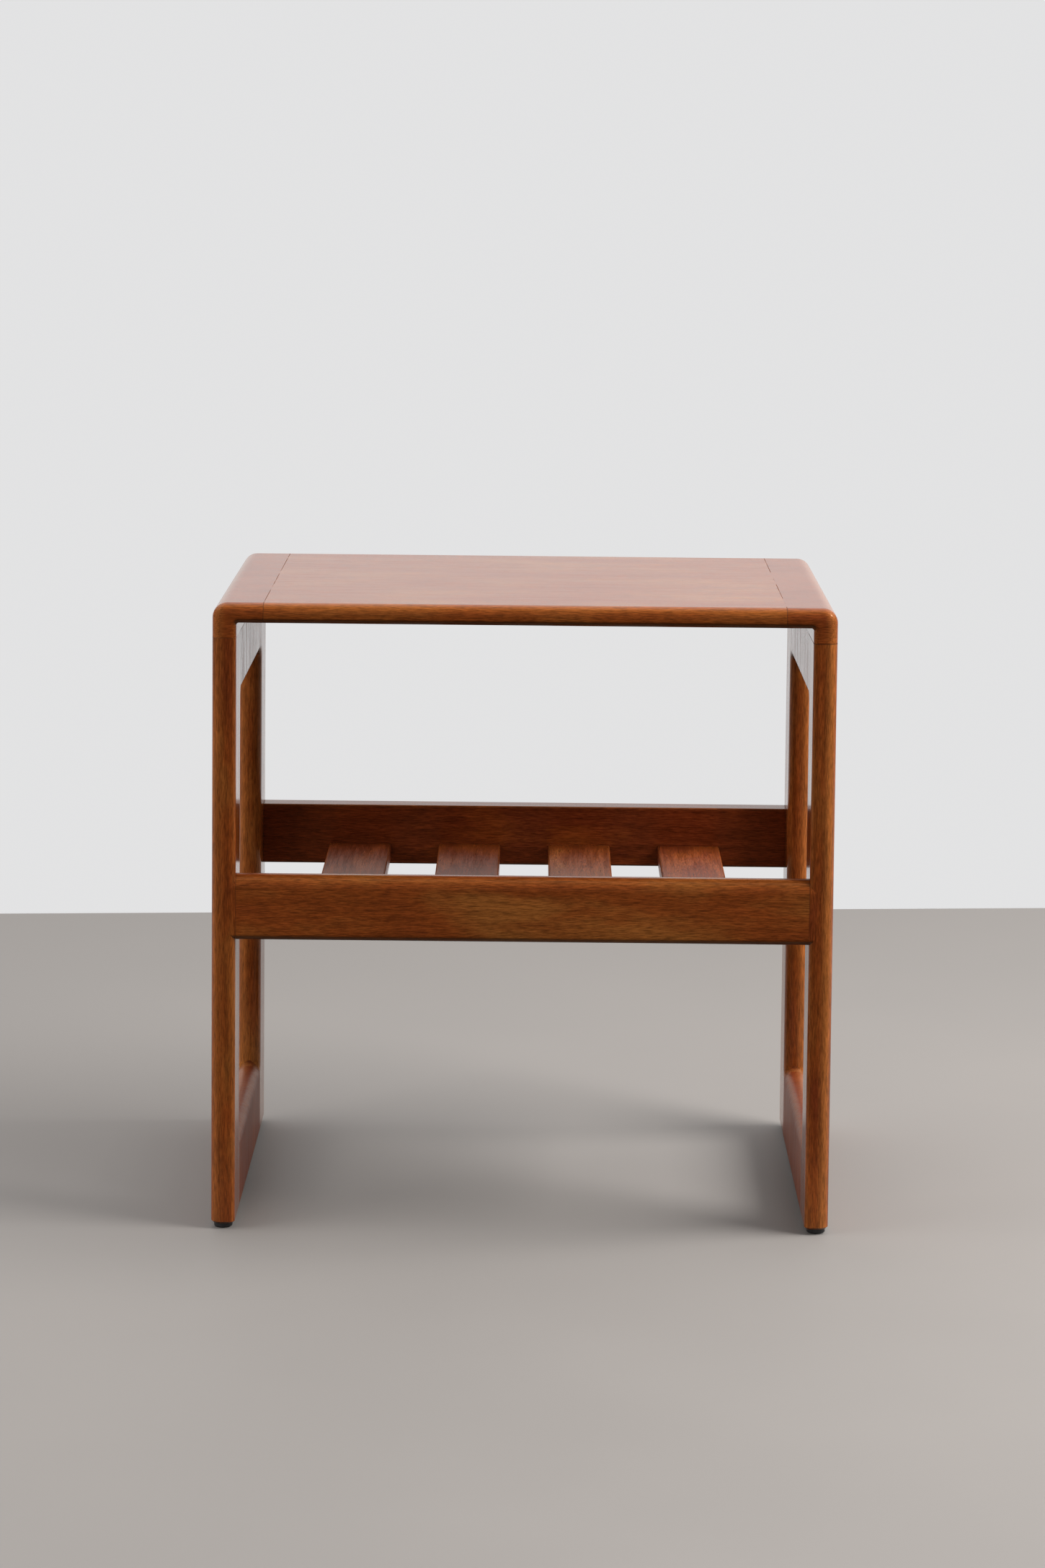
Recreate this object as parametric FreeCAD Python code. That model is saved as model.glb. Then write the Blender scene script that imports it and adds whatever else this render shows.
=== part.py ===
import FreeCAD, Part
import os
from FreeCAD import Vector

# All lengths are in millimetres. X runs across the table, Y from front to rear, Z up.
# The origin is on the floor, under the middle of the table.

# Overall size
overall_width = 500.0
overall_depth = 350.0
overall_height = 510.0

# Top panel, corner blocks and side frames
top_thickness = 16.0
side_thickness = 19.5
corner_block_reach = 41.0  # along the top, from the outer side face to the panel joint
corner_block_drop = 28.0  # down the side, from the top face to the post joint
post_depth = 54.0
upper_rail_height = 52.0
lower_rail_height = 57.5

# Magazine rack
rack_underside_height = 237.5
rack_rail_height = 52.5
rack_rail_thickness = 22.0
slat_count = 4
slat_width = 54.0
slat_thickness = 15.0
slat_lift = 3.5  # slat underside above the rack rails' underside
slat_end_gap = 58.75  # from a side frame to the nearest slat

# Routed and sanded edges
edge_round = 8.5  # outside of the front, and the side windows
inner_edge_round = 5.0  # inside of the front: legs, under the top and under the rack
rail_edge_round = 10.0  # top of the front rack rail, on both sides
rear_edge_round = 2.0  # the rear face and the rear rack rail are only sanded over
outer_corner_extra = 3.5  # outer corner radius beyond the edge round, which follows it
inner_corner_radius = 2.0
window_corner_radius = 5.0
foot_bevel = 1.5
slat_edge_round = 2.0
outer_round_share = 0.55  # largest round on one edge of a board, as a share of its thickness
round_limit_share = 0.48  # the same where both edges of a board are rounded alike

# Dowels
dowel_diameter = 8.0
dowel_depth = 20.0  # hole depth where the wood is deep enough
slat_dowel_diameter = 6.0
slat_dowel_depth = 14.0
dowel_clearance = 0.1
dowel_end_room = 1.0
blind_skin = 6.0  # wood left behind a hole that stops inside a board
panel_dowel_shares = (-0.36, -0.12, 0.12, 0.36)  # along the depth of the table
block_rail_dowel_shares = (-0.25, 0.25)  # along the upper rail
block_post_dowel_share = 0.33  # across a post, from its outer edge
pair_shares = (-0.25, 0.25)  # two dowels across the width of a member

# Foot glides and their nails
glide_diameter = 15.0
glide_thickness = 4.5
glide_bevel = 1.0
glide_setback = 11.0  # from the front or rear face to the middle of a glide
glide_recess_diameter = 8.0
glide_recess_depth = 2.2
nail_diameter = 2.0
nail_head_diameter = 6.0
nail_head_thickness = 1.2
nail_grip = 14.0  # length of nail in the wood
nail_tip_length = 3.0
nail_clearance = 0.05

overrun = 5.0  # how far a cutting shape passes the surface that it opens
match_tolerance = 0.001  # how closely an edge lies on a plane to be counted as on it

# Places that follow from the sizes
half_width = overall_width / 2
half_depth = overall_depth / 2
inner_half_width = half_width - side_thickness
side_middle = half_width - side_thickness / 2
panel_half_length = half_width - corner_block_reach
window_half_depth = half_depth - post_depth
rail_inner_face = half_depth - rack_rail_thickness
rail_middle = half_depth - rack_rail_thickness / 2
foot_height = glide_thickness
top_underside = overall_height - top_thickness
block_underside = overall_height - corner_block_drop
window_top = block_underside - upper_rail_height
window_bottom = foot_height + lower_rail_height
window_middle = (window_top + window_bottom) / 2
rack_top = rack_underside_height + rack_rail_height
slat_underside = rack_underside_height + slat_lift
slat_middle = slat_underside + slat_thickness / 2
slat_pitch = (2 * (inner_half_width - slat_end_gap) - slat_width) / (slat_count - 1)
outer_round = min(edge_round, outer_round_share * min(top_thickness, side_thickness))
window_round = min(edge_round, round_limit_share * side_thickness)
rail_round = min(rail_edge_round, round_limit_share * rack_rail_thickness)
outer_corner_radius = outer_round + outer_corner_extra
recess_top = glide_recess_depth
nail_tip = foot_height + nail_grip

along_x = Vector(1, 0, 0)
along_y = Vector(0, 1, 0)
along_z = Vector(0, 0, 1)
sides = {"left": -1, "right": 1}
ends = {"front": -1, "rear": 1}
pieces = {}
dowel_groups = {}


def slab(x_span, y_span, z_span):
    """Block between two limits on each axis, given in either order."""
    low = Vector(min(x_span), min(y_span), min(z_span))
    high = Vector(max(x_span), max(y_span), max(z_span))
    size = high - low
    return Part.makeBox(size.x, size.y, size.z, low)


def within(box, axis, low, high):
    """True where a bounding box lies between two places on an axis."""
    box_low = getattr(box, axis + "Min")
    box_high = getattr(box, axis + "Max")
    return low - match_tolerance < box_low and box_high < high + match_tolerance


def on_plane(edge, axis, place):
    """True where the whole of an edge lies on a plane square to an axis."""
    return within(edge.BoundBox, axis, place, place)


def on_either(edge, axis, place):
    """True where an edge lies on one of two planes that mirror each other."""
    return on_plane(edge, axis, place) or on_plane(edge, axis, -place)


def rounded(shape, radius, chosen):
    """The shape with every edge that passes a test rounded over."""
    return shape.makeFillet(radius, [edge for edge in shape.Edges if chosen(edge)])


def carcass_blank():
    """Inverted U of top and sides, with side windows and rack rails, before its edges are routed."""
    outside = slab((-half_width, half_width), (-half_depth, half_depth), (foot_height, overall_height))
    outside = rounded(
        outside,
        outer_corner_radius,
        lambda edge: on_either(edge, "X", half_width) and on_plane(edge, "Z", overall_height),
    )
    past_depth = half_depth + overrun
    bay = slab((-inner_half_width, inner_half_width), (-past_depth, past_depth), (-overrun, top_underside))
    bay = rounded(
        bay,
        inner_corner_radius,
        lambda edge: on_either(edge, "X", inner_half_width) and on_plane(edge, "Z", top_underside),
    )
    past_width = half_width + overrun
    window = slab((-past_width, past_width), (-window_half_depth, window_half_depth), (window_bottom, window_top))
    window = rounded(
        window,
        window_corner_radius,
        lambda edge: not on_either(edge, "X", past_width) and within(edge.BoundBox, "X", -past_width, past_width),
    )
    blank = outside.cut(bay).cut(window)
    for end in ends.values():
        rail = slab(
            (-inner_half_width, inner_half_width),
            (end * rail_inner_face, end * half_depth),
            (rack_underside_height, rack_top),
        )
        blank = blank.fuse(rail)
    return blank.removeSplitter()


def is_outer_edge(edge):
    """Edges on the outside of the carcass: its sides, its top and the round corners between them."""
    box = edge.BoundBox
    past_bay = inner_half_width + match_tolerance
    beside_bay = box.XMin > past_bay or box.XMax < -past_bay
    return beside_bay or box.ZMin > top_underside + match_tolerance


def is_window_edge(edge):
    """Outlines of the side windows, on the outer and inner faces of the side frames."""
    on_side = on_either(edge, "X", half_width) or on_either(edge, "X", inner_half_width)
    in_depth = within(edge.BoundBox, "Y", -window_half_depth, window_half_depth)
    in_height = within(edge.BoundBox, "Z", window_bottom, window_top)
    return on_side and in_depth and in_height


def is_rail_edge(edge, face):
    """Upper and lower edges of a rack rail on the side of the magazines."""
    level = on_plane(edge, "Z", rack_top) or on_plane(edge, "Z", rack_underside_height)
    return level and on_plane(edge, "Y", face)


def round_of(edge):
    """Radius that an edge of the glued-up carcass gets, or none where it stays sharp."""
    if on_plane(edge, "Z", foot_height):
        return None
    if is_window_edge(edge):
        return window_round
    if on_plane(edge, "Y", half_depth) or is_rail_edge(edge, rail_inner_face):
        return rear_edge_round
    if on_plane(edge, "Y", -half_depth) or is_rail_edge(edge, -rail_inner_face):
        if on_plane(edge, "Z", rack_top):
            return rail_round
        return outer_round if is_outer_edge(edge) else inner_edge_round
    return None


def is_foot_edge(edge):
    """Outlines of the soles of the two side frames."""
    return on_plane(edge, "Z", foot_height)


def routed(shape):
    """The shape with each edge rounded by its own radius, so that a round runs on from piece to piece."""
    document = FreeCAD.newDocument()
    blank = document.addObject("Part::Feature", "blank")
    blank.Shape = shape
    fillet = document.addObject("Part::Fillet", "routed")
    fillet.Base = blank
    radii = [(number, round_of(edge)) for number, edge in enumerate(shape.Edges, 1)]
    fillet.Edges = [(number, radius, radius) for number, radius in radii if radius]
    document.recompute()
    return fillet.Shape


def routed_carcass():
    """Glued-up carcass with rounded edges and bevelled soles."""
    carcass = routed(carcass_blank())
    return carcass.makeChamfer(foot_bevel, [edge for edge in carcass.Edges if is_foot_edge(edge)])


def sawn_from(carcass, x_span, y_span, z_span):
    """The piece of the carcass between its joint planes."""
    return carcass.common(slab(x_span, y_span, z_span)).Solids[0]


def split_carcass():
    """Part the routed carcass at its joints into panel, blocks, posts and rails."""
    carcass = routed_carcass()
    past_depth = half_depth + overrun
    past_top = overall_height + overrun
    full_depth = (-past_depth, past_depth)
    between_posts = (-window_half_depth, window_half_depth)
    panel_span = (-panel_half_length, panel_half_length)
    pieces["top_panel"] = sawn_from(carcass, panel_span, full_depth, (block_underside, past_top))
    for side, hand in sides.items():
        frame = (hand * inner_half_width, hand * (half_width + overrun))
        block = (hand * panel_half_length, hand * (half_width + overrun))
        pieces[side + "_corner_block"] = sawn_from(carcass, block, full_depth, (block_underside, past_top))
        pieces[side + "_upper_rail"] = sawn_from(carcass, frame, between_posts, (window_middle, block_underside))
        pieces[side + "_lower_rail"] = sawn_from(carcass, frame, between_posts, (-overrun, window_middle))
        for end, way in ends.items():
            post = (way * window_half_depth, way * past_depth)
            pieces[side + "_" + end + "_post"] = sawn_from(carcass, frame, post, (-overrun, block_underside))
    rail_span = (-inner_half_width, inner_half_width)
    for end, way in ends.items():
        rail_depth = (way * rail_inner_face, way * past_depth)
        rail_height = (rack_underside_height - overrun, rack_top + overrun)
        pieces[end + "_rack_rail"] = sawn_from(carcass, rail_span, rail_depth, rail_height)


def slat_name(index):
    return "rack_slat_" + str(index + 1)


def slat_place(index):
    """Middle of a slat across the table, with the slats spaced evenly."""
    return (index - (slat_count - 1) / 2) * slat_pitch


def add_slats():
    """Flat slats that run from rail to rail and carry the magazines."""
    for index in range(slat_count):
        left = slat_place(index) - slat_width / 2
        slat = slab(
            (left, left + slat_width),
            (-rail_inner_face, rail_inner_face),
            (slat_underside, slat_underside + slat_thickness),
        )
        pieces[slat_name(index)] = rounded(
            slat, slat_edge_round, lambda edge: not on_either(edge, "Y", rail_inner_face)
        )


def drill(node, mouth, way, radius, depth):
    """Cut a blind round hole into a piece, from its mouth on a joint face."""
    hole = Part.makeCylinder(radius, depth + overrun, mouth - way * overrun, way)
    pieces[node] = pieces[node].cut(hole).Solids[0]


def dowel(middle, way, diameter, length):
    """Plain round pin."""
    return Part.makeCylinder(diameter / 2, length, middle - way * (length / 2), way)


def dowel_joint(group, mouth, way, diameter, near_piece, near_depth, far_piece, far_depth):
    """One dowel across a joint, in a hole in each of the two pieces; the way runs from near to far."""
    hole_radius = diameter / 2 + dowel_clearance
    drill(near_piece, mouth, way * -1, hole_radius, near_depth)
    drill(far_piece, mouth, way, hole_radius, far_depth)
    middle = mouth + way * ((far_depth - near_depth) / 2)
    pin = dowel(middle, way, diameter, near_depth + far_depth - 2 * dowel_end_room)
    dowel_groups.setdefault(group, []).append(pin)


def join_panel_to_blocks():
    """Dowels along the table that join the top panel to its corner blocks."""
    for side, hand in sides.items():
        for share in panel_dowel_shares:
            mouth = Vector(hand * panel_half_length, share * overall_depth, overall_height - top_thickness / 2)
            dowel_joint(
                "top_panel_dowels", mouth, along_x * hand, dowel_diameter,
                "top_panel", dowel_depth, side + "_corner_block", dowel_depth,
            )


def join_blocks_to_sides():
    """Upright dowels that join each corner block to the posts and the upper rail below it."""
    block_depth = corner_block_drop - blind_skin
    for side, hand in sides.items():
        places = [(side + "_upper_rail", share * 2 * window_half_depth) for share in block_rail_dowel_shares]
        for end, way in ends.items():
            inset = block_post_dowel_share * post_depth
            places.append((side + "_" + end + "_post", way * (half_depth - inset)))
        for node, place in places:
            mouth = Vector(hand * side_middle, place, block_underside)
            dowel_joint(
                "corner_block_dowels", mouth, along_z, dowel_diameter,
                node, dowel_depth, side + "_corner_block", block_depth,
            )


def join_side_rails_to_posts():
    """Pairs of dowels at the ends of the upper and lower rails of each side frame."""
    levels = {
        "upper_rail": (window_top, upper_rail_height),
        "lower_rail": (foot_height, lower_rail_height),
    }
    for side, hand in sides.items():
        for end, way in ends.items():
            for rail, (bottom, height) in levels.items():
                for share in pair_shares:
                    level = bottom + height / 2 + share * height
                    mouth = Vector(hand * side_middle, way * window_half_depth, level)
                    dowel_joint(
                        rail + "_dowels", mouth, along_y * way, dowel_diameter,
                        side + "_" + rail, dowel_depth, side + "_" + end + "_post", dowel_depth,
                    )


def join_rack_rails_to_posts():
    """Pairs of dowels that carry the rack rails between the posts."""
    post_hole = side_thickness - blind_skin
    for side, hand in sides.items():
        for end, way in ends.items():
            for share in pair_shares:
                level = rack_underside_height + rack_rail_height / 2 + share * rack_rail_height
                mouth = Vector(hand * inner_half_width, way * rail_middle, level)
                dowel_joint(
                    "rack_rail_dowels", mouth, along_x * hand, dowel_diameter,
                    end + "_rack_rail", dowel_depth, side + "_" + end + "_post", post_hole,
                )


def join_slats_to_rails():
    """Pairs of thin dowels that hold each slat between the rack rails."""
    rail_hole = rack_rail_thickness - blind_skin
    for index in range(slat_count):
        for end, way in ends.items():
            for share in pair_shares:
                mouth = Vector(slat_place(index) + share * slat_width, way * rail_inner_face, slat_middle)
                dowel_joint(
                    "slat_dowels", mouth, along_y * way, slat_dowel_diameter,
                    slat_name(index), slat_dowel_depth, end + "_rack_rail", rail_hole,
                )


def turned(profile, foot):
    """Solid of revolution about an upright axis, from the (radius, height) corners of its half section."""
    corners = [Vector(radius, 0, height) for radius, height in profile]
    face = Part.Face(Part.makePolygon(corners + corners[:1]))
    solid = face.revolve(Vector(0, 0, 0), along_z, 360)
    solid.translate(foot)
    return solid


def glide(foot):
    """Round pad with a bevelled sole, a recess for the nail head and a hole for the nail."""
    rim_radius = glide_diameter / 2
    recess_radius = glide_recess_diameter / 2
    hole_radius = nail_diameter / 2 + nail_clearance
    profile = [
        (hole_radius, recess_top),
        (recess_radius, recess_top),
        (recess_radius, 0),
        (rim_radius - glide_bevel, 0),
        (rim_radius, glide_bevel),
        (rim_radius, glide_thickness),
        (hole_radius, glide_thickness),
    ]
    return turned(profile, foot)


def nail(foot):
    """Flat-headed nail that pins a glide up into the foot of a post."""
    head_radius = nail_head_diameter / 2
    shank_radius = nail_diameter / 2
    profile = [
        (0, recess_top - nail_head_thickness),
        (head_radius, recess_top - nail_head_thickness),
        (head_radius, recess_top),
        (shank_radius, recess_top),
        (shank_radius, nail_tip - nail_tip_length),
        (0, nail_tip),
    ]
    return turned(profile, foot)


def add_glides():
    """A nailed glide under the front and the rear post of each side."""
    for side, hand in sides.items():
        for end, way in ends.items():
            foot = Vector(hand * side_middle, way * (half_depth - glide_setback), 0)
            mouth = foot + along_z * foot_height
            drill(side + "_" + end + "_post", mouth, along_z, nail_diameter / 2 + nail_clearance, nail_grip)
            pieces[side + "_" + end + "_glide"] = glide(foot)
            dowel_groups.setdefault("glide_nails", []).append(nail(foot))


def build():
    """Make every piece, joint it to its neighbours and write one file per node."""
    split_carcass()
    add_slats()
    join_panel_to_blocks()
    join_blocks_to_sides()
    join_side_rails_to_posts()
    join_rack_rails_to_posts()
    join_slats_to_rails()
    add_glides()
    for group, pins in dowel_groups.items():
        pieces[group] = Part.makeCompound(pins)
    os.makedirs("parts", exist_ok=True)
    for node, shape in pieces.items():
        shape.exportStep(os.path.join("parts", node + ".step"))


build()
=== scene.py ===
import itertools
import math

import bpy
from mathutils import Matrix, Vector


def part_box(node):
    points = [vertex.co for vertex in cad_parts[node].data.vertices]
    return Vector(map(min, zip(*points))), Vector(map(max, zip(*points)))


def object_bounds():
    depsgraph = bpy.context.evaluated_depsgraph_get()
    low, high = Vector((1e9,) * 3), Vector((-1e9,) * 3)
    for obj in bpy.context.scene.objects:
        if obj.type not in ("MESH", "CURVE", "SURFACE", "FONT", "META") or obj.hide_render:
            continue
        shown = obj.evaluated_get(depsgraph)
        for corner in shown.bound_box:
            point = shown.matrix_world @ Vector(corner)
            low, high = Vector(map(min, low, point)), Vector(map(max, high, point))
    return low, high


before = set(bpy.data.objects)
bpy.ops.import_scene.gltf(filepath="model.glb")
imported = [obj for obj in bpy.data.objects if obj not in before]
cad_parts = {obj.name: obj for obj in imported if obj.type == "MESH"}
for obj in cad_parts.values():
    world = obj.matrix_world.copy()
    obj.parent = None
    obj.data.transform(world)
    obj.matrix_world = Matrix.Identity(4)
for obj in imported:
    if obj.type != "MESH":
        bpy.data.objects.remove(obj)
cad_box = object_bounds()

# Camera, in metres and degrees
camera_place = Vector((0.011, -3.3867, 0.9242))
camera_pitch = 5.431
camera_yaw = 0.254
camera_roll = 0.549
camera_lens = 93.28
camera_sensor = 36.0
camera_shift = -0.2

# Floor and wall, with distances from the middle of the table
floor_half_size = 9.0
floor_tone = (0.265, 0.247, 0.235)
dark_floor_share = 0.15  # of the floor's tone, in the dim room in front of the object
dark_floor_start = 0.2
dark_floor_end = 0.55
floor_fade_start = 1.8  # from here on the floor gives way to the backdrop
floor_fade_end = 2.6
backdrop_tone = (0.765, 0.765, 0.770)
wall_line = 1.109  # foot of the pale wall
wall_slant = 0.078  # the wall's distance grows by this share from left to right
wall_height = 3.0

# Light of the room, by the direction from which it comes
wall_level = 0.765  # from the pale wall behind the object
room_level = 0.18  # from the dim room in front of it
ceiling_level = 1.5
wall_edge = 0.55  # rearward share of a direction where the wall begins
wall_full = 0.85

# Lamps
softbox_target = Vector((0.0, 0.0, 0.3))
softbox_tone = (1.0, 0.98, 0.95)
key_place = Vector((1.9, -0.36, 1.85))
key_size = 1.6
key_power = 95.0
fill_place = Vector((-2.2, -0.6, 1.0))
fill_size = 1.9
fill_power = 32.0
catch_size = 0.38  # small lamp in the key's place, for the glint on rounded corners
catch_power = 22.0

# Stain colours, from the dark red patches to the golden ones
stain_deep = (0.170, 0.032, 0.0085)
stain_middle = (0.258, 0.058, 0.0110)
stain_gold = (0.325, 0.108, 0.0230)
stain_worn_and_lit = (0.400, 0.135, 0.0330)  # beside the outer edges: stain rubbed through, and painted light from the side lamps
rounded_gold = 0.35  # how far rounded edges turn golden
painted_underside_shade = 0.3  # painted shade, as a share of the tone, where the surface is turned to the floor

# Lacquer
lacquer_tint = (1.0, 0.55, 0.30)
lacquer_ior = 1.5
satin = 0.12  # roughness
matte = 0.32
rubbed = 0.42

# Wood markings, per metre along the grain, across it and into the board
wander_scale = (2.5, 9.0, 9.0)
wander_reach = (0.0, 0.012, 0.012)
blotch_scale = (7.0, 22.0, 22.0)
streak_scale = (14.0, 260.0, 260.0)
fibre_scale = (110.0, 1300.0, 1300.0)
pore_scale = (95.0, 1900.0, 1900.0)
pore_shift = (3.0, 5.0, 7.0)
ring_centre = (0.0, 0.05, 0.13)
ring_stretch = (0.12, 1.0, 1.0)
ring_scale = 60.0
ring_wobble = 2.5

# Relief of the wood under its lacquer
relief_depth = 0.0003
relief_least = 0.03
relief_growth = 1.25  # with the ripple

# Each board is cut from another place of the same tree
cut_step = (0.37, 0.211, 0.157)
first_cut = 4
cut_numbers = itertools.count(first_cut)

# Lighter bands beside the outer sides, of rubbed stain and painted light from the side lamps, in metres from
# the outer sides
worn_lit_reach = 0.012
worn_lit_peak = 0.005

# Joint lines
seam_half_width = 0.0002
seam_fade = 0.0003
seam_shade = 0.30
seam_gap_scale = (22.0, 22.0, 22.0)  # of the noise that lets the lines come and go
seam_front_start = 0.022  # from the front of the table; nearer to it the lines don't break off
seam_front_full = 0.010

# Dowels, glides and nails
beech_pale = (0.560, 0.380, 0.220)
beech_dark = (0.420, 0.260, 0.140)
plastic_black = (0.012, 0.012, 0.013)
plastic_grey = (0.030, 0.030, 0.031)
steel_light = (0.62, 0.62, 0.63)
steel_dark = (0.42, 0.42, 0.44)

# Where a Mix node's two colours, its two numbers and its colour output sit
MIX_COLOURS = (6, 7)
MIX_NUMBERS = (2, 3)
MIX_OUT = 2
SCALE_INPUT = 3

# Which of X, Y and Z run along the grain, across it and into the board
GRAIN_ORDER = {"x": (0, 1, 2), "y": (1, 0, 2), "z": (2, 0, 1)}
AXIS = {"x": 0, "y": 1, "z": 2}


class Graph:
    """One material's node tree, with short calls that add and join its nodes."""

    def __init__(self, name, owner=None):
        self.material = owner or bpy.data.materials.new(name)
        self.material.use_nodes = True
        self.tree = self.material.node_tree
        self.tree.nodes.clear()

    def add(self, kind, values=None, **settings):
        """A node of one kind; values holds a number, a colour or a socket for each input."""
        made = self.tree.nodes.new("ShaderNode" + kind)
        for key, value in settings.items():
            setattr(made, key, value)
        for key, value in (values or {}).items():
            if isinstance(value, bpy.types.NodeSocket):
                self.tree.links.new(value, made.inputs[key])
            else:
                made.inputs[key].default_value = value
        return made

    def place(self):
        """The place on the surface, in metres in the shared frame."""
        return self.add("TexCoord").outputs["Object"]

    def split(self, vector):
        """The three parts of a vector."""
        return self.add("SeparateXYZ", {0: vector}).outputs

    def math(self, operation, first, second=0.0):
        return self.add("Math", {0: first, 1: second}, operation=operation).outputs[0]

    def product(self, first, second):
        return self.math("MULTIPLY", first, second)

    def vector(self, operation, first, second):
        return self.add("VectorMath", {0: first, 1: second}, operation=operation).outputs[0]

    def scaled(self, colour, factor):
        return self.add("VectorMath", {0: colour, SCALE_INPUT: factor}, operation="SCALE").outputs[0]

    def ramp(self, value, low, high, to_low=0.0, to_high=1.0):
        """A value eased from one range to another and held at its ends."""
        values = {"Value": value, "From Min": low, "From Max": high, "To Min": to_low, "To Max": to_high}
        return self.add("MapRange", values, interpolation_type="SMOOTHSTEP").outputs[0]

    def mix(self, share, first, second):
        """A colour between two colours."""
        values = {0: share, MIX_COLOURS[0]: first, MIX_COLOURS[1]: second}
        return self.add("Mix", values, data_type="RGBA").outputs[MIX_OUT]

    def blend(self, share, first, second):
        """A number between two numbers."""
        values = {0: share, MIX_NUMBERS[0]: first, MIX_NUMBERS[1]: second}
        return self.add("Mix", values, data_type="FLOAT").outputs[0]

    def noise(self, space, stretch, detail=2.0, roughness=0.5, shift=(0.0, 0.0, 0.0), output="Fac"):
        """Smooth noise from 0 to 1, with its own stretch along each axis."""
        place = self.add("Mapping", {"Vector": space, "Location": shift, "Scale": stretch}).outputs[0]
        values = {"Vector": place, "Scale": 1.0, "Detail": detail, "Roughness": roughness}
        return self.add("TexNoise", values).outputs[output]

    def bump(self, height, strength, distance):
        values = {"Strength": strength, "Distance": distance, "Height": height}
        return self.add("Bump", values).outputs[0]

    def principled(self, **inputs):
        values = {key.replace("_", " "): value for key, value in inputs.items()}
        return self.add("BsdfPrincipled", values).outputs[0]

    def glow(self, colour):
        return self.add("Emission", {"Color": rgba(colour)}).outputs[0]

    def finish(self, shader):
        """Joins a shader to the output and returns the material."""
        self.add("OutputMaterial", {"Surface": shader})
        return self.material

    def finish_mixed(self, share, first, second):
        """Joins a mix of two shaders to the output and returns the material."""
        return self.finish(self.add("MixShader", {0: share, 1: first, 2: second}).outputs[0])


def rgba(colour):
    return (*colour, 1.0)


def grain_space(graph, grain, cut):
    """The axes of the frame, and a space whose X runs along the grain, at another cut of the tree."""
    axes = graph.split(graph.place())
    along, across, into = GRAIN_ORDER[grain]
    turned = graph.add("CombineXYZ", {0: axes[along], 1: axes[across], 2: axes[into]}).outputs[0]
    return axes, graph.vector("ADD", turned, cut)


def bent_space(graph, space):
    """The grain's space with a slow wander across its length."""
    wander = graph.noise(space, wander_scale, detail=1.0, output="Color")
    centred = graph.vector("SUBTRACT", wander, (0.5, 0.5, 0.5))
    return graph.vector("ADD", space, graph.vector("MULTIPLY", centred, wander_reach))


def edge_shares(graph, axes):
    """How far the surface is a rounded edge, a lighter band beside an outer edge (rubbed stain and painted
    light from the sides), and turned to the floor (for painted shade).
    """
    normal = graph.split(graph.add("NewGeometry").outputs["Normal"])
    sizes = [graph.math("ABSOLUTE", part) for part in normal]
    largest = graph.math("MAXIMUM", graph.math("MAXIMUM", sizes[0], sizes[1]), sizes[2])
    rounded = graph.ramp(largest, 0.995, 0.75)
    # Band beside the outer sides that turns lighter: rubbed stain and painted light from the side lamps
    inset = graph.math("SUBTRACT", cad_box[1][0], graph.math("ABSOLUTE", axes[0]))
    worn_and_lit = graph.product(graph.ramp(inset, worn_lit_reach, worn_lit_peak), graph.ramp(inset, 0.0, worn_lit_peak))
    worn_and_lit = graph.product(worn_and_lit, graph.ramp(sizes[0], 1.0, 0.9))
    # Faces turned to the floor, which get painted shade
    under = graph.ramp(normal[2], 0.05, -0.55)
    return rounded, worn_and_lit, under


def seam_share(graph, axes, seams):
    """How far the hairlines show at the piece's joints, coming and going except at the front."""
    gaps = graph.noise(graph.place(), seam_gap_scale)
    open_share = graph.ramp(gaps, 0.36, 0.56, 0.25, 1.0)
    front = cad_box[0][1]
    at_front = graph.ramp(axes[1], front + seam_front_start, front + seam_front_full)
    open_share = graph.math("MAXIMUM", open_share, at_front)
    share = 0.0
    for axis, level, strength in seams:
        away = graph.math("ABSOLUTE", graph.math("SUBTRACT", axes[AXIS[axis]], level))
        line = graph.ramp(away, seam_half_width + seam_fade, seam_half_width, 0.0, strength)
        share = graph.math("MAXIMUM", share, line)
    return graph.product(share, open_share)


def growth_rings(graph, space):
    """Growth rings round the tree's middle, drawn out along the grain."""
    place = graph.add("Mapping", {"Vector": space, "Location": ring_centre, "Scale": ring_stretch})
    values = {"Vector": place.outputs[0], "Scale": ring_scale, "Distortion": ring_wobble,
              "Detail": 2.0, "Detail Scale": 1.2}
    kind = {"wave_type": "RINGS", "rings_direction": "X", "wave_profile": "SAW"}
    return graph.add("TexWave", values, **kind).outputs["Fac"]


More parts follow.
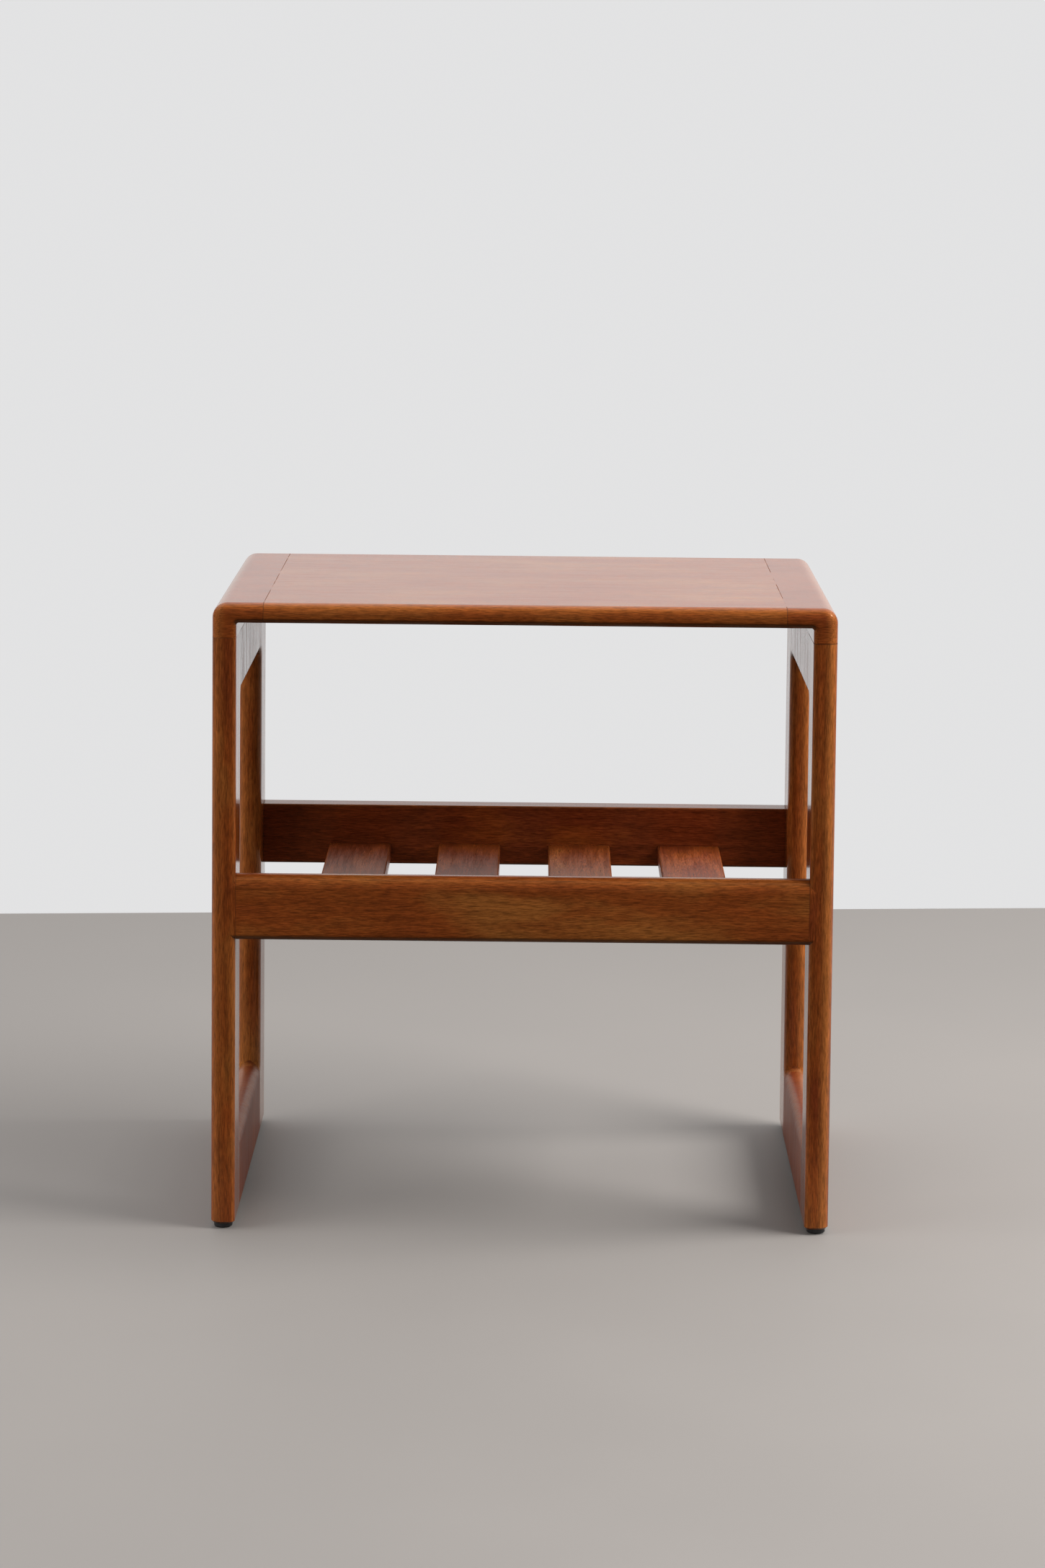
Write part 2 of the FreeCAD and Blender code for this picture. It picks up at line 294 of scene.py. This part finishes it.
def stained_wood(name, grain, cut, roughness, seams, figure, tone, ripple, wear_and_light):
    """Red-brown stained wood under lacquer.

    Figure is how strongly its markings show, tone how golden it is, ripple how far its relief and
    sheen follow the grain, and the last number how far the bands beside its outer edges turn lighter,
    as rubbed stain and painted light from the side lamps.
    """
    graph = Graph(name)
    axes, straight = grain_space(graph, grain, cut)
    space = bent_space(graph, straight)

    # Markings
    blotch = graph.math("SUBTRACT", graph.noise(space, blotch_scale, detail=3.0, roughness=0.6), 0.5)
    blotch = graph.math("ADD", graph.product(blotch, figure), 0.5 + tone)
    streak = graph.noise(space, streak_scale, detail=4.0, roughness=0.65)
    fibre = graph.noise(space, fibre_scale, detail=3.0, roughness=0.7)
    pore = graph.noise(space, pore_scale, detail=0.0, shift=pore_shift)
    ring = growth_rings(graph, space)
    seam = seam_share(graph, axes, seams)
    rounded, worn_and_lit, under = edge_shares(graph, axes)

    # Stain
    red_to_brown = graph.mix(graph.ramp(blotch, 0.30, 0.50), rgba(stain_deep), rgba(stain_middle))
    colour = graph.mix(graph.ramp(blotch, 0.48, 0.70), red_to_brown, rgba(stain_gold))
    colour = graph.mix(graph.product(rounded, rounded_gold), colour, rgba(stain_gold))
    # Lighter band beside the outer edges: rubbed stain and painted light from the side lamps
    colour = graph.mix(graph.product(worn_and_lit, wear_and_light), colour, rgba(stain_worn_and_lit))

    # Light and dark of the markings and the joints, and painted shade where the surface is turned to the
    # floor
    marks = graph.product(graph.ramp(streak, 0.30, 0.70, 0.80, 1.16), graph.ramp(ring, 0.0, 1.0, 1.02, 0.95))
    shade = graph.blend(figure, 1.0, marks)
    shade = graph.product(shade, graph.ramp(fibre, 0.30, 0.70, 0.60, 1.38))
    shade = graph.product(shade, graph.ramp(pore, 0.62, 0.74, 1.0, 0.68))
    shade = graph.product(shade, graph.ramp(seam, 0.0, 1.0, 1.0, seam_shade))
    # Painted shade on faces turned to the floor
    shade = graph.product(shade, graph.ramp(under, 0.0, 1.0, 1.0, painted_underside_shade))
    colour = graph.scaled(colour, shade)

    # Sheen and relief
    gloss = graph.ramp(streak, 0.35, 0.68, roughness - 0.3 * ripple, roughness + ripple)
    gloss = graph.math("ADD", gloss, graph.ramp(fibre, 0.3, 0.7, -0.03, 0.03))
    gloss = graph.math("ADD", gloss, graph.ramp(blotch, 0.3, 0.7, 0.02, -0.02))
    gloss = graph.math("MAXIMUM", gloss, graph.product(seam, 0.8))
    height = graph.math("ADD", graph.product(fibre, 0.5), graph.ramp(pore, 0.58, 0.72, 0.5, 0.0))
    height = graph.math("ADD", height, streak)
    bump = graph.bump(height, relief_least + relief_growth * ripple, relief_depth)
    finish = {"Base_Color": colour, "Roughness": gloss, "Normal": bump}
    return graph.finish(graph.principled(**finish, IOR=lacquer_ior, Specular_Tint=rgba(lacquer_tint)))


def dowel_beech(name):
    """Plain beech with short dark flecks."""
    graph = Graph(name)
    place = graph.place()
    cloud = graph.noise(place, (60.0, 60.0, 60.0), detail=3.0)
    fleck = graph.noise(place, (900.0, 900.0, 900.0), detail=1.0)
    colour = graph.mix(graph.ramp(cloud, 0.3, 0.7), rgba(beech_dark), rgba(beech_pale))
    colour = graph.scaled(colour, graph.ramp(fleck, 0.55, 0.75, 1.0, 0.8))
    gloss = graph.ramp(fleck, 0.3, 0.7, 0.55, 0.7)
    return graph.finish(graph.principled(Base_Color=colour, Roughness=gloss))


def moulded_plastic(name):
    """Black moulded plastic with a faint scuffed mottle."""
    graph = Graph(name)
    place = graph.place()
    mottle = graph.noise(place, (250.0, 250.0, 250.0), detail=3.0)
    stipple = graph.noise(place, (2500.0, 2500.0, 2500.0), detail=1.0)
    colour = graph.mix(graph.ramp(mottle, 0.35, 0.75), rgba(plastic_black), rgba(plastic_grey))
    gloss = graph.ramp(mottle, 0.3, 0.7, 0.42, 0.6)
    bump = graph.bump(stipple, 0.15, 0.0001)
    return graph.finish(graph.principled(Base_Color=colour, Roughness=gloss, Normal=bump))


def nail_steel(name):
    """Bright drawn steel."""
    graph = Graph(name)
    scratch = graph.noise(graph.place(), (400.0, 400.0, 3000.0))
    colour = graph.mix(graph.ramp(scratch, 0.3, 0.7), rgba(steel_dark), rgba(steel_light))
    gloss = graph.ramp(scratch, 0.3, 0.7, 0.25, 0.4)
    return graph.finish(graph.principled(Base_Color=colour, Metallic=1.0, Roughness=gloss))


def dress(node, material):
    """Gives a CAD piece one material."""
    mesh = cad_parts[node].data
    mesh.materials.clear()
    mesh.materials.append(material)


def dress_wood(node, grain, roughness, joints, figure=1.0, tone=0.0, ripple=0.08, wear_and_light=0.4):
    """Gives a wooden piece its own cut of the wood, with a hairline at each end that is a joint.

    Joints gives each line's strength by the end of the piece, such as x+.
    """
    low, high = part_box(node)
    seams = []
    for end, strength in joints.items():
        corner = high if end[1] == "+" else low
        seams.append((end[0], corner[AXIS[end[0]]], strength))
    number = next(cut_numbers)
    cut = tuple(number * step for step in cut_step)
    dress(node, stained_wood("wood_" + node, grain, cut, roughness, seams, figure, tone, ripple, wear_and_light))


def dress_side(side, inward, line, streaks):
    """The boards of one side frame, with its own strength of joint lines and streaks."""
    dress_wood(f"{side}_corner_block", "x", satin, {inward: 0.7, "z-": line},
               figure=0.4, tone=-0.05, ripple=0.02)
    dress_wood(f"{side}_upper_rail", "z", satin, {"y-": 0.6, "y+": 0.6, "z+": 1.0},
               figure=0.5, ripple=streaks)
    # The lower rails' darker tone is painted shade, as they stand low under the rack
    dress_wood(f"{side}_lower_rail", "z", rubbed, {"y-": 0.4, "y+": 0.4}, figure=0.4, tone=-0.18)
    # The front posts' lighter outer band is painted light from the key lamp, so it is stronger on the right,
    # the key's side
    dress_wood(f"{side}_front_post", "z", satin, {"z+": line}, tone=-0.03, wear_and_light=0.7 * line)
    dress_wood(f"{side}_rear_post", "z", satin, {"z+": 0.6})


def dress_all():
    """Every CAD piece gets its finish."""
    dress_wood("top_panel", "x", satin, {"x-": 0.7, "x+": 0.7}, figure=0.5, tone=0.04, ripple=0.045)
    dress_wood("front_rack_rail", "x", satin, {"x-": 0.8, "x+": 0.8}, figure=0.8, tone=0.04)
    # The rear rack rail's darker tone is painted shade of the bay under the top
    dress_wood("rear_rack_rail", "x", satin, {"x-": 0.7, "x+": 0.7}, tone=-0.2)
    dress_side("left", "x+", line=0.5, streaks=0.26)
    dress_side("right", "x-", line=1.0, streaks=0.16)
    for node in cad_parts:
        if node.startswith("rack_slat"):
            dress_wood(node, "y", matte, {"y-": 0.7, "y+": 0.7}, tone=-0.1)
    plastic = moulded_plastic("glide_black")
    beech = dowel_beech("dowel_beech")
    steel = nail_steel("nail_steel")
    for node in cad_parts:
        if node.endswith("_glide"):
            dress(node, plastic)
        elif node.endswith("_dowels"):
            dress(node, beech)
        elif node.endswith("_nails"):
            dress(node, steel)


def floor_material():
    """A plain grey floor that gives way to the pale backdrop far away and, in the lacquer, at the wall."""
    graph = Graph("pale_floor")
    place = graph.place()
    away = graph.add("VectorMath", {0: place}, operation="LENGTH").outputs["Value"]
    rightward, rearward, _ = graph.split(place)
    path = graph.add("LightPath").outputs
    cloud = graph.noise(place, (2.0, 2.0, 2.0), detail=4.0)

    dimmed = graph.ramp(rearward, -dark_floor_end, -dark_floor_start, dark_floor_share, 1.0)
    grey = graph.scaled(floor_tone, graph.ramp(cloud, 0.3, 0.7, 0.97, 1.03))
    grey = graph.scaled(grey, graph.math("MAXIMUM", dimmed, path["Is Camera Ray"]))
    solid = graph.principled(Base_Color=grey, Roughness=graph.ramp(cloud, 0.3, 0.7, 0.7, 0.8))

    toward_wall = graph.ramp(graph.math("DIVIDE", rearward, away), wall_edge, wall_full)
    mirrored = graph.math("MAXIMUM", path["Is Glossy Ray"], path["Is Transmission Ray"])
    mirrored = graph.product(mirrored, toward_wall)
    faded = graph.ramp(away, floor_fade_start, floor_fade_end)
    upright = graph.math("SUBTRACT", rearward, graph.product(rightward, wall_slant))
    behind = graph.math("GREATER_THAN", upright, wall_line)
    in_lacquer = graph.product(graph.math("MAXIMUM", behind, faded), mirrored)
    share = graph.math("MAXIMUM", in_lacquer, graph.product(faded, path["Is Camera Ray"]))
    return graph.finish_mixed(share, solid, graph.glow(backdrop_tone))


def wall_material():
    """The backdrop's plain tone on the wall's front, with nothing on its back."""
    graph = Graph("pale_wall")
    back = graph.add("NewGeometry").outputs["Backfacing"]
    clear = graph.add("BsdfTransparent").outputs[0]
    return graph.finish_mixed(back, graph.glow(backdrop_tone), clear)


def add_sheet(name, corners, material):
    """A flat piece of the stage."""
    mesh = bpy.data.meshes.new(name)
    mesh.from_pydata(corners, [], [range(len(corners))])
    mesh.materials.append(material)
    sheet = bpy.data.objects.new(name, mesh)
    bpy.context.scene.collection.objects.link(sheet)
    return sheet


def add_stage():
    """A floor, and a wall for the camera alone, as the world gives the wall's light and reflection."""
    reach = floor_half_size
    floor_corners = [(-reach, -reach, 0.0), (reach, -reach, 0.0), (reach, reach, 0.0), (-reach, reach, 0.0)]
    add_sheet("floor", floor_corners, floor_material())
    left, right = wall_line - wall_slant * reach, wall_line + wall_slant * reach
    wall_corners = [(-reach, left, 0.0), (reach, right, 0.0),
                    (reach, right, wall_height), (-reach, left, wall_height)]
    wall = add_sheet("wall", wall_corners, wall_material())
    wall.visible_diffuse = False
    wall.visible_glossy = False
    wall.visible_transmission = False
    wall.visible_shadow = False


def add_world():
    """A room with a pale wall behind the object, a bright ceiling and a dim front, seen as plain backdrop."""
    world = bpy.data.worlds.new("pale_room")
    graph = Graph("pale_room", world)
    _, rearward, upward = graph.split(graph.add("TexCoord").outputs["Generated"])
    behind = graph.ramp(rearward, wall_edge, wall_full)
    overhead = graph.product(graph.ramp(rearward, -0.45, 0.35), graph.ramp(upward, 0.25, 0.85))
    light = graph.blend(overhead, graph.blend(behind, room_level, wall_level), ceiling_level)
    seen = graph.add("LightPath").outputs["Is Camera Ray"]
    colour = graph.mix(seen, graph.scaled((1.0, 1.0, 1.0), light), rgba(backdrop_tone))
    sky = graph.add("Background", {"Color": colour}).outputs[0]
    graph.add("OutputWorld", {"Surface": sky})
    bpy.context.scene.world = world


def add_softbox(name, place, size, power, mirrored):
    """A square lamp aimed at the object; a mirrored one only shows in the lacquer, any other only lights."""
    light = bpy.data.lights.new(name, "AREA")
    light.shape = "SQUARE"
    light.size = size
    light.energy = power
    light.color = softbox_tone
    lamp = bpy.data.objects.new(name, light)
    lamp.location = place
    lamp.rotation_euler = (softbox_target - place).to_track_quat("-Z", "Y").to_euler()
    lamp.visible_glossy = mirrored
    lamp.visible_diffuse = not mirrored
    bpy.context.scene.collection.objects.link(lamp)


def add_camera():
    """The photograph's camera, with a shift for its upright verticals."""
    data = bpy.data.cameras.new("camera")
    data.lens = camera_lens
    data.sensor_width = camera_sensor
    data.shift_y = camera_shift
    camera = bpy.data.objects.new("camera", data)
    turn = Matrix.Rotation(math.radians(camera_yaw), 4, "Z")
    tilt = Matrix.Rotation(math.radians(90.0 - camera_pitch), 4, "X")
    roll = Matrix.Rotation(math.radians(camera_roll), 4, "Z")
    camera.matrix_world = Matrix.Translation(camera_place) @ turn @ tilt @ roll
    bpy.context.scene.collection.objects.link(camera)
    bpy.context.scene.camera = camera


dress_all()
add_stage()
add_world()
add_softbox("key", key_place, key_size, key_power, mirrored=False)
add_softbox("fill", fill_place, fill_size, fill_power, mirrored=False)
add_softbox("catch_light", key_place, catch_size, catch_power, mirrored=True)
add_camera()
bpy.context.scene.view_settings.view_transform = "Standard"
